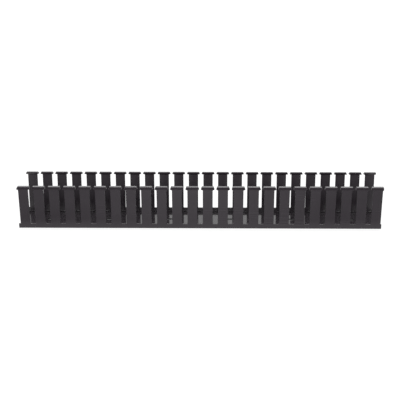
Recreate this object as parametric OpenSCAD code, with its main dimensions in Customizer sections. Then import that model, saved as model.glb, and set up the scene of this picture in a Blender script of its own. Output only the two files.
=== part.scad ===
// Slotted wire duct: one extruded channel with fingered side walls, open at the
// top and at both ends. It lies along X with its base on Z = 0. The base has a row
// of slotted screw holes, and the finger heads carry the catch for a clip-on cover.

/* [Channel section] */
// Width across the outer faces of the two side walls, at the base
duct_w = 40; // [30:1:60]
// Height from the underside of the base to the finger tops
duct_h = 36.4; // [25:0.1:60]
// How far each wall leans out at the finger tops, with no cover to hold it in
wall_lean = 2.1; // [0:0.1:3]
// Thickness of the side walls
wall_t = 1.3; // [1:0.1:1.8]
// Thickness of the base
floor_t = 0.8; // [0.8:0.1:2]
// Outside radius of the two bottom corners
base_corner_r = 0.9; // [0.4:0.1:1.5]
// Radius of the fillet between the base and each wall, inside
floor_fillet_r = 0.7; // [0.3:0.1:1.5]

/* [Fingers and wire slots] */
// Number of fingers along each wall
finger_count = 24; // [7:1:40]
// Distance from one wire slot to the next
slot_pitch = 12.5; // [11:0.5:16]
// Width of a wire slot between two fingers
slot_w = 4.5; // [4:0.1:5.5]
// Height of the solid sill under the slots, from the underside of the base
sill_h = 4.1; // [3:0.1:8]
// Radius of the two bottom corners of a wire slot
slot_corner_r = 0.5; // [0.2:0.1:1]
// Length of sill left beyond the first finger, where the stock was cut
left_stub = 1.5; // [0.3:0.05:1.9]
// Length of sill left beyond the last finger, where the stock was cut
right_stub = 0.75; // [0.3:0.05:1.9]

/* [Finger heads] */
// How far a head stands out past each side of its finger at the top
head_reach = 0.6; // [0.2:0.05:0.8]
// How far a head stands out past each side of its finger at its barbs
barb_reach = 1.45; // [0.9:0.05:1.7]
// Distance of the barbs below the finger top
barb_drop = 1.9; // [1.5:0.1:3]
// Height over which the barbs fall back to the finger's sides
barb_under = 0.6; // [0.4:0.1:2]
// Distance from the wall's outer face to the inner edge of the head's top face
head_t = 4.3; // [3.6:0.1:5]
// Distance from the wall's outer face to the outer edge of the head's top face
head_inset = 1.2; // [0.8:0.1:1.6]
// How much lower the outer edge of the top face lies than the inner edge
head_fall = 0.3; // [0.1:0.05:0.6]
// How far the head's inner face slopes back towards the wall, from the top to the barbs
hook_back = 1; // [0.4:0.1:1.4]
// Height over which the head's underside returns to the wall, inside
ledge_h = 1; // [0.6:0.1:1.6]
// Rounding of the head's edges
head_edge_r = 0.35; // [0.1:0.05:0.4]
// How far the cover catch stands out past the wall's outer face
catch_out = 0.3; // [0.1:0.05:0.8]
// Height over which the cover catch falls back to the wall
catch_under = 1.2; // [0.4:0.1:2]

/* [Screw holes in the base] */
// Number of screw slots in the row
hole_count = 6; // [1:1:6]
// Distance between screw slots, counted in wire slots
hole_every = 4; // [2:1:4]
// Width of a screw slot
hole_w = 3.5; // [3:0.1:6]
// End-to-end length of a screw slot, along the duct
hole_l = 9; // [8:0.5:14]

/* [Hidden] */

// Overshoot of a cutting tool past the face it cuts
cut_past = 2;
// Number of straight steps in a rounded corner
corner_steps = 3;

finger_w = slot_pitch - slot_w;
row_l = (finger_count - 1) * slot_pitch + finger_w;
duct_l = row_l + left_stub + right_stub;
// Middle of the row of fingers, with the origin at the middle of the whole length
row_x = (left_stub - right_stub) / 2;
wall_y = duct_w / 2;
hole_spacing = hole_every * slot_pitch;

// Points of an arc that rounds the corner b of the path a, b, c with radius r
function rounded_corner(a, b, c, r) =
    let(
        to_a = (a - b) / norm(a - b),
        to_c = (c - b) / norm(c - b),
        half_angle = acos(to_a * to_c) / 2,
        bisector = (to_a + to_c) / norm(to_a + to_c),
        centre = b + bisector * r / sin(half_angle),
        start = b + to_a * r / tan(half_angle) - centre,
        finish = b + to_c * r / tan(half_angle) - centre
    )
    [
        for (i = [0 : corner_steps])
            let(
                mix = start * (corner_steps - i) + finish * i
            )
            centre + mix / norm(mix) * r
    ];

// Closed outline through corners given as [x, y, radius], each rounded by its radius
function rounded_outline(corners) =
    let(n = len(corners))
    [
        for (i = [0 : n - 1])
            let(
                a = corners[(i + n - 1) % n],
                b = corners[i],
                c = corners[(i + 1) % n]
            )
            each (b[2] > 0
                ? rounded_corner([a[0], a[1]], [b[0], b[1]], [c[0], c[1]], b[2])
                : [[b[0], b[1]]])
    ];

// How far out the right wall's outer face lies at the height z
function wall_out(z) = wall_y + wall_lean * z / duct_h;

barb_z = duct_h - barb_drop;
catch_z = barb_z - catch_under;
ledge_z = barb_z - ledge_h;

// Right half of the channel's section in Y and Z, from the bottom up the outside
// of the wall, over the head and down the inside
right_half = [
    [wall_y, 0, base_corner_r],
    [wall_out(catch_z), catch_z, 0],
    [wall_out(barb_z) + catch_out, barb_z, head_edge_r / 2],
    [wall_out(duct_h) - head_inset, duct_h - head_fall, head_edge_r],
    [wall_out(duct_h) - head_t, duct_h, head_edge_r],
    [wall_out(duct_h) - head_t + hook_back, barb_z, head_edge_r],
    [wall_out(ledge_z) - wall_t, ledge_z, 0],
    [wall_out(floor_t) - wall_t, floor_t, floor_fillet_r]
];

// The same corners on the left wall, in the order that closes the outline
left_half = [
    for (i = [len(right_half) - 1 : -1 : 0])
        [-right_half[i][0], right_half[i][1], right_half[i][2]]
];

// Right half of a wire slot's outline in X and Z, from the sill up to the open top
half_slot = [
    [slot_w / 2, sill_h, slot_corner_r],
    [slot_w / 2, barb_z - barb_under, 0],
    [slot_w / 2 - barb_reach, barb_z, 0],
    [slot_w / 2 - head_reach, duct_h, 0],
    [slot_w / 2 - head_reach, duct_h + cut_past, 0]
];

half_slot_mirrored = [
    for (i = [len(half_slot) - 1 : -1 : 0])
        [-half_slot[i][0], half_slot[i][1], half_slot[i][2]]
];

// The plain extrusion, before anything is punched
module channel() {
    translate([-duct_l / 2, 0, 0])
        rotate([90, 0, 90])
            linear_extrude(duct_l)
                polygon(rounded_outline(concat(right_half, left_half)));
}

// One punch stroke: a wire slot through both walls, closed by barbs at the top
module wire_slot() {
    stroke = duct_w + 2 * (wall_lean + catch_out + cut_past);
    translate([0, stroke / 2, 0])
        rotate([90, 0, 0])
            linear_extrude(stroke)
                polygon(rounded_outline(concat(half_slot, half_slot_mirrored)));
}

// One screw hole through the base, a round-ended slot along the duct
module screw_slot() {
    translate([0, 0, -cut_past])
        linear_extrude(floor_t + 2 * cut_past) {
            square([hole_l - hole_w, hole_w], center = true);
            for (side = [-1, 1])
                translate([side * (hole_l - hole_w) / 2, 0])
                    circle(d = hole_w, $fn = 32);
        }
}

module duct() {
    color("#3a3a3c")
        difference() {
            channel();
            // The row starts and ends inside a slot, so each end finger stands clear
            for (i = [0 : finger_count])
                translate([row_x + (i - finger_count / 2) * slot_pitch, 0, 0])
                    wire_slot();
            for (i = [0 : hole_count - 1])
                translate([row_x + (i - (hole_count - 1) / 2) * hole_spacing, 0, 0])
                    screw_slot();
        }
}

duct();
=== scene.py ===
import math
import bmesh
import bpy
from mathutils import Matrix, Vector


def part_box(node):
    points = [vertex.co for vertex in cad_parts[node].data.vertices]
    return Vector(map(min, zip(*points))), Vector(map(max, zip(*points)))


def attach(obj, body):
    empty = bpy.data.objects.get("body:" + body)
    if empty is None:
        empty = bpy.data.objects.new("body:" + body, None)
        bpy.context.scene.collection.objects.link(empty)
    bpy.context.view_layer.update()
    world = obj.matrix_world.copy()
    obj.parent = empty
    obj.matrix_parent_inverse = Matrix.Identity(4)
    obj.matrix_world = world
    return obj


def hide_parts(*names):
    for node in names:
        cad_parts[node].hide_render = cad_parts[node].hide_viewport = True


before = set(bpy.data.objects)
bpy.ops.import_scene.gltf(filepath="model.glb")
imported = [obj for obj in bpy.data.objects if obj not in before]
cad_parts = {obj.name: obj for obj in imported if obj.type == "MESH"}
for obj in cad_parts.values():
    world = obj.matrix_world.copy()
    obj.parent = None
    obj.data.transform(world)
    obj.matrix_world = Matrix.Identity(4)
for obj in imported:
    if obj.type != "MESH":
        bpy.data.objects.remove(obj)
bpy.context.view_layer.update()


# ---- Slotted duct ------------------------------------------------------------------
# One straight length of open-top wire duct. It is extruded in rigid PVC, its wire and
# screw slots are then punched, and it is sawn from the stock length. It lies loose.

def linear(hex_colour):
    """The linear red, green, blue and alpha of an sRGB hex colour."""
    channels = [int(hex_colour[i:i + 2], 16) / 255 for i in (1, 3, 5)]
    return [c / 12.92 if c <= 0.04045 else ((c + 0.055) / 1.055) ** 2.4
            for c in channels] + [1.0]


def new_material(name):
    """A material with an empty node tree."""
    material = bpy.data.materials.new(name)
    material.use_nodes = True
    material.node_tree.nodes.clear()
    return material


def add_node(owner, kind, settings=None, **inputs):
    """Adds a shader node to a material or world, with its settings and its inputs.

    An input is given by its name, or as i and a number where several share a name. A
    socket is linked to it and anything else is set on it."""
    node = owner.node_tree.nodes.new(kind)
    for name, value in (settings or {}).items():
        setattr(node, name, value)
    for name, value in inputs.items():
        at = int(name[1:]) if name[0] == "i" and name[1:].isdigit() else name.replace("_", " ")
        if isinstance(value, bpy.types.NodeSocket):
            owner.node_tree.links.new(value, node.inputs[at])
        else:
            node.inputs[at].default_value = value
    return node


def stretched_noise(material, spacing, stretch):
    """Noise whose grain has a real spacing in metres, stretched along each axis."""
    where = add_node(material, "ShaderNodeTexCoord").outputs["Object"]
    scale = Vector([1 / (spacing * along_axis) for along_axis in stretch])
    stretched = add_node(material, "ShaderNodeMapping", {"vector_type": "POINT"},
                         Vector=where, Scale=scale)
    noise = add_node(material, "ShaderNodeTexNoise", None, Vector=stretched.outputs["Vector"],
                     Scale=1.0, Detail=2.0, Roughness=0.55)
    return noise.outputs["Fac"]


def ranged(owner, value, low, high, from_low=0.3, from_high=0.7):
    """A value brought into a range, by default from the middle of a noise's own range."""
    return add_node(owner, "ShaderNodeMapRange", {"clamp": True}, Value=value,
                    From_Min=from_low, From_Max=from_high,
                    To_Min=low, To_Max=high).outputs["Result"]


# Extruded rigid PVC, as it leaves the die: near black and satin, with die lines 0.5 mm
# apart along the duct and a gloss that varies a little from line to line. The base has
# slid along the cooling table and is twice as smooth as the walls, which take over
# between 0.9 and 1.6 mm up.
extruded_pvc = new_material("extruded_black_pvc")
die_lines = stretched_noise(extruded_pvc, 0.0005, (120.0, 1.0, 1.0))
patches = stretched_noise(extruded_pvc, 0.020, (2.5, 1.0, 1.0))
tint = add_node(extruded_pvc, "ShaderNodeMix", {"data_type": "RGBA"},
                i0=ranged(extruded_pvc, patches, 0, 1),
                i6=linear("#363036"), i7=linear("#3b353b")).outputs[2]
wall_gloss = add_node(extruded_pvc, "ShaderNodeMath", {"operation": "ADD"},
                      i0=ranged(extruded_pvc, die_lines, -0.02, 0.03),
                      i1=ranged(extruded_pvc, patches, 0.20, 0.27)).outputs[0]
place = add_node(extruded_pvc, "ShaderNodeSeparateXYZ", None,
                 Vector=add_node(extruded_pvc, "ShaderNodeTexCoord").outputs["Object"])
gloss = add_node(extruded_pvc, "ShaderNodeMath", {"operation": "MULTIPLY"}, i0=wall_gloss,
                 i1=ranged(extruded_pvc, place.outputs["Z"], 0.5, 1.0, 0.0009, 0.0016)).outputs[0]
drawn = add_node(extruded_pvc, "ShaderNodeBump", None, Height=die_lines,
                 Strength=0.12, Distance=0.00002)
skin = add_node(extruded_pvc, "ShaderNodeBsdfPrincipled", None, Base_Color=tint,
                Roughness=gloss, IOR=1.48, Normal=drawn.outputs["Normal"])
add_node(extruded_pvc, "ShaderNodeOutputMaterial", None, Surface=skin.outputs["BSDF"])

# The same PVC where the punch went through it: duller and a little greyer, with shear
# lines 0.25 mm apart along the stroke of the punch.
punched_pvc = new_material("punched_black_pvc")
shear_lines = stretched_noise(punched_pvc, 0.00025, (1.0, 14.0, 1.0))
shade = add_node(punched_pvc, "ShaderNodeMix", {"data_type": "RGBA"},
                 i0=ranged(punched_pvc, shear_lines, 0, 1),
                 i6=linear("#3b373b"), i7=linear("#464246")).outputs[2]
sheared = add_node(punched_pvc, "ShaderNodeBump", None, Height=shear_lines,
                   Strength=0.4, Distance=0.00003)
edge = add_node(punched_pvc, "ShaderNodeBsdfPrincipled", None, Base_Color=shade,
                Roughness=ranged(punched_pvc, shear_lines, 0.3, 0.45), IOR=1.53,
                Normal=sheared.outputs["Normal"])
add_node(punched_pvc, "ShaderNodeOutputMaterial", None, Surface=edge.outputs["BSDF"])

# The two sawn ends: matt and greyer still, with the saw's lines, 0.3 mm apart, standing
# across the section.
sawn_pvc = new_material("sawn_black_pvc")
saw_lines = stretched_noise(sawn_pvc, 0.0003, (1.0, 1.0, 40.0))
grey = add_node(sawn_pvc, "ShaderNodeMix", {"data_type": "RGBA"},
                i0=ranged(sawn_pvc, saw_lines, 0, 1),
                i6=linear("#3e3b3e"), i7=linear("#4d4a4d")).outputs[2]
scored = add_node(sawn_pvc, "ShaderNodeBump", None, Height=saw_lines,
                  Strength=0.5, Distance=0.00005)
cut = add_node(sawn_pvc, "ShaderNodeBsdfPrincipled", None, Base_Color=grey, Roughness=0.55,
               IOR=1.53, Normal=scored.outputs["Normal"])
add_node(sawn_pvc, "ShaderNodeOutputMaterial", None, Surface=cut.outputs["BSDF"])

EXTRUDED, PUNCHED, SAWN = 0, 1, 2
BROKEN_EDGE = 0.00009           # how far the punch and the saw have broken the edges
BASE_TOP = 0.0012               # a height just above the base, where the walls begin
SCREW_ROW = 0.005               # the screw slots' walls all lie nearer the middle than this
SAME_POINT = 0.000002           # nearer than this, two corners are one
SAME_PLANE = 0.00002            # nearer than this, two flat faces are in one plane
FLAT = math.radians(0.4)        # faces that meet at less than this are one flat face
SMOOTH = math.radians(34)       # below this angle an edge is shaded as a curve
STRUCK = math.radians(35)       # above this angle a tool leaves a broken edge
ON_AXIS = 0.99                  # the share of a normal on an axis that it points along
OFF_AXIS = 0.02                 # the share of a normal on an axis that it is square to

channel = bmesh.new()
channel.from_mesh(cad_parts["duct"].data)
bmesh.ops.remove_doubles(channel, verts=channel.verts, dist=SAME_POINT)
bmesh.ops.dissolve_limit(channel, angle_limit=FLAT, verts=channel.verts,
                         edges=channel.edges, use_dissolve_boundaries=False, delimit=set())
channel.normal_update()
low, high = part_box("duct")
for face in channel.faces:
    middle = face.calc_center_median()
    to_end = min(abs(middle.x - low.x), abs(middle.x - high.x))
    wire_slot = middle.z > BASE_TOP and abs(face.normal.y) < OFF_AXIS
    screw_slot = (middle.z < BASE_TOP and abs(face.normal.z) < OFF_AXIS
                  and abs(middle.y) < SCREW_ROW)
    if abs(face.normal.x) > ON_AXIS and to_end < SAME_PLANE:
        face.material_index = SAWN
    elif wire_slot or screw_slot:
        face.material_index = PUNCHED
    else:
        face.material_index = EXTRUDED
    face.smooth = True

# The tools leave a fine broken edge wherever they met the extruded skin. It stays inside
# the duct's own outline.
struck = [e for e in channel.edges if len(e.link_faces) == 2
          and e.link_faces[0].material_index != e.link_faces[1].material_index
          and e.calc_face_angle() > STRUCK]
bmesh.ops.bevel(channel, geom=struck, offset=BROKEN_EDGE, offset_type="OFFSET", segments=2,
                profile=0.5, affect="EDGES", clamp_overlap=False, material=-1)
for corner in channel.verts:
    corner.co = [min(max(at, least), most) for at, least, most in zip(corner.co, low, high)]
for e in channel.edges:
    e.smooth = len(e.link_faces) != 2 or e.calc_face_angle() < SMOOTH

duct_mesh = bpy.data.meshes.new("duct_channel")
channel.to_mesh(duct_mesh)
channel.free()
for material in (extruded_pvc, punched_pvc, sawn_pvc):
    duct_mesh.materials.append(material)
duct_channel = bpy.data.objects.new("duct_channel", duct_mesh)
bpy.context.scene.collection.objects.link(duct_channel)
even_normals = duct_channel.modifiers.new("even_normals", "WEIGHTED_NORMAL")
even_normals.keep_sharp = True
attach(duct_channel, "root")
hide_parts("duct")


# ---- Table -------------------------------------------------------------------------
# A flat white table that runs on out of sight on all sides. It isn't part of the
# object, which lies on it without being held.

table_mesh = bpy.data.meshes.new("table")
table_top = bmesh.new()
bmesh.ops.create_grid(table_top, x_segments=1, y_segments=1, size=6.0)
table_top.to_mesh(table_mesh)
table_top.free()
table = bpy.data.objects.new("table", table_mesh)
bpy.context.scene.collection.objects.link(table)

# Matt white laminate. For the eye and for gloss it is lit from within, so that it reads
# white, and matt on top of that, so that the duct's soft shadow stays. The glow is switched
# off in a box the size of the duct's footprint, a painted shade under the duct; where the
# screw slots show it, it is only as light as what falls on it.
TABLE_GLOW = 0.88
white_laminate = new_material("white_laminate")
spot = add_node(white_laminate, "ShaderNodeSeparateXYZ", None,
                Vector=add_node(white_laminate, "ShaderNodeTexCoord").outputs["Object"])
along = add_node(white_laminate, "ShaderNodeMath", {"operation": "ABSOLUTE"},
                 i0=spot.outputs["X"]).outputs[0]
across = add_node(white_laminate, "ShaderNodeMath", {"operation": "ABSOLUTE"},
                  i0=spot.outputs["Y"]).outputs[0]
# The glow's strength: full beside the duct, none under its footprint, a painted shade there.
glow_with_painted_footprint_shade = add_node(white_laminate, "ShaderNodeMath", {"operation": "MAXIMUM"},
                       i0=ranged(white_laminate, along, 0.0, TABLE_GLOW, 0.146, 0.148),
                       i1=ranged(white_laminate, across, 0.0, TABLE_GLOW, 0.018, 0.019)).outputs[0]
matt = add_node(white_laminate, "ShaderNodeBsdfDiffuse", None, Color=linear("#8c8c8c"))
lit = add_node(white_laminate, "ShaderNodeEmission", None, Color=linear("#ffffff"),
               Strength=glow_with_painted_footprint_shade)
seen = add_node(white_laminate, "ShaderNodeAddShader", None,
                i0=matt.outputs[0], i1=lit.outputs[0])
unseen = add_node(white_laminate, "ShaderNodeBsdfDiffuse", None, Color=linear("#b0b0b0"))

# Gloss sees a pool of light painted on the table: brightest close to the duct, and dimmer away
# from it, most of all to the left and right.
away = add_node(white_laminate, "ShaderNodeMath", {"operation": "MULTIPLY"},
                i0=ranged(white_laminate, across, 0.0, 1.0, 0.026, 0.036),
                i1=ranged(white_laminate, along, 0.35, 1.0, 0.03, 0.11)).outputs[0]
ray = add_node(white_laminate, "ShaderNodeLightPath")
# For gloss the glow's share follows the painted pool of light; for the eye it is whole.
glow_share_with_painted_pool = add_node(white_laminate, "ShaderNodeMath", {"operation": "MULTIPLY_ADD"},
                      i0=ray.outputs["Is Glossy Ray"],
                      i1=ranged(white_laminate, away, 0.92, 0.22, 0.0, 1.0),
                      i2=ray.outputs["Is Camera Ray"]).outputs[0]
laminate = add_node(white_laminate, "ShaderNodeMixShader", None, i0=glow_share_with_painted_pool,
                    i1=unseen.outputs[0], i2=seen.outputs[0])
add_node(white_laminate, "ShaderNodeOutputMaterial", None, Surface=laminate.outputs[0])
table_mesh.materials.append(white_laminate)


# ---- Room and lamps ----------------------------------------------------------------
# A plain white room whose front half is darker, with a wide soft lamp overhead and
# behind, and a small one low in front that opens up the shadows inside the duct.

room = bpy.data.worlds.new("room")
bpy.context.scene.world = room
room.use_nodes = True
room.node_tree.nodes.clear()
way = add_node(room, "ShaderNodeSeparateXYZ", None,
               Vector=add_node(room, "ShaderNodeTexCoord").outputs["Generated"])
room_light = add_node(room, "ShaderNodeMix", {"data_type": "RGBA"},
                      i0=ranged(room, way.outputs["Y"], 0.0, 1.0, -0.25, 0.35),
                      i6=linear("#606060"), i7=linear("#ffffff")).outputs[2]
for_the_eye = add_node(room, "ShaderNodeMix", {"data_type": "RGBA"},
                       i0=add_node(room, "ShaderNodeLightPath").outputs["Is Camera Ray"],
                       i6=room_light, i7=linear("#ffffff")).outputs[2]
glow = add_node(room, "ShaderNodeBackground", None, Color=for_the_eye, Strength=1.0)
add_node(room, "ShaderNodeOutputWorld", None, Surface=glow.outputs[0])

LIT_POINT = Vector((0, 0, 0.02))
for name, stand, width, depth, watts in (
        ("softbox", (0.0, 1.1, 1.1), 2.4, 0.9, 12),
        ("front_fill", (0.0, -0.8, 0.36), 0.6, 0.4, 4)):
    lamp = bpy.data.lights.new(name, "AREA")
    lamp.shape = "RECTANGLE"
    lamp.size, lamp.size_y = width, depth
    lamp.energy = watts
    holder = bpy.data.objects.new(name, lamp)
    holder.location = stand
    holder.rotation_mode = "QUATERNION"
    holder.rotation_quaternion = (LIT_POINT - holder.location).to_track_quat("-Z", "Y")
    bpy.context.scene.collection.objects.link(holder)


# ---- Camera ------------------------------------------------------------------------
# A long lens about 0.76 m away, nearly square to the duct's side and 19.5 degrees above
# it, and level to within a sixth of a degree.

aim = Vector((0.00003, 0.0, 0.01793))
distance = 0.7615
rise, turn, roll = math.radians(19.502), math.radians(0.96), math.radians(-0.159)
toward = Vector((math.cos(rise) * math.sin(turn),
                 -math.cos(rise) * math.cos(turn),
                 math.sin(rise)))
level_right = Vector((0, 0, 1)).cross(toward).normalized()
level_up = toward.cross(level_right)
right = math.cos(roll) * level_right + math.sin(roll) * level_up
up = -math.sin(roll) * level_right + math.cos(roll) * level_up
lens = bpy.data.cameras.new("camera")
lens.sensor_width = 36
lens.lens = 81.87
lens.clip_start, lens.clip_end = 0.05, 30
camera = bpy.data.objects.new("camera", lens)
camera.matrix_world = (Matrix.Translation(aim + distance * toward)
                       @ Matrix((right, up, toward)).transposed().to_4x4())
bpy.context.scene.collection.objects.link(camera)
bpy.context.scene.camera = camera
bpy.context.scene.view_settings.view_transform = "Standard"
